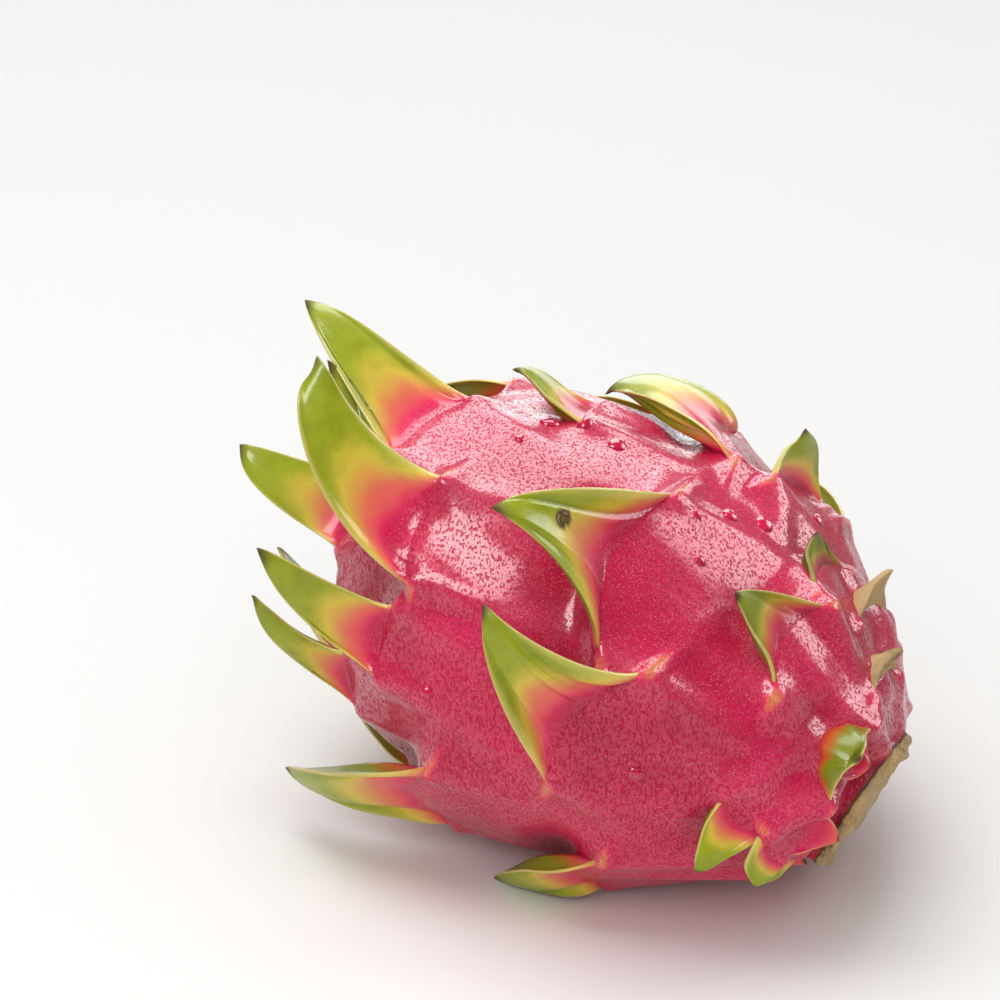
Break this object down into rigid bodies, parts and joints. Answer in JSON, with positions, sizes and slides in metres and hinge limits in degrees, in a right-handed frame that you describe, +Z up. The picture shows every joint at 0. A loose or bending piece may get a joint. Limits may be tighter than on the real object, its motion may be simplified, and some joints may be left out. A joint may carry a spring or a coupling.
{
  "type": "dragon fruit",
  "caption": "Egg-shaped dragon fruit on its side: a smooth swollen body with pointed leafy scales all over, a scar at the flower end and a short cut stem.",
  "frame": {"origin": "on the table, in the small flat spot under the fruit's weight", "axes": "+Z up, +X toward the cut stem, -Y toward the front, from where the picture shows the fruit"},
  "size_m": [0.1242, 0.1002, 0.095],
  "materials": {
    "fruit_skin": "satin"
  },
  "bodies": {
    "root": {"dragon_fruit": "fruit_skin"}
  },
  "joints": []
}
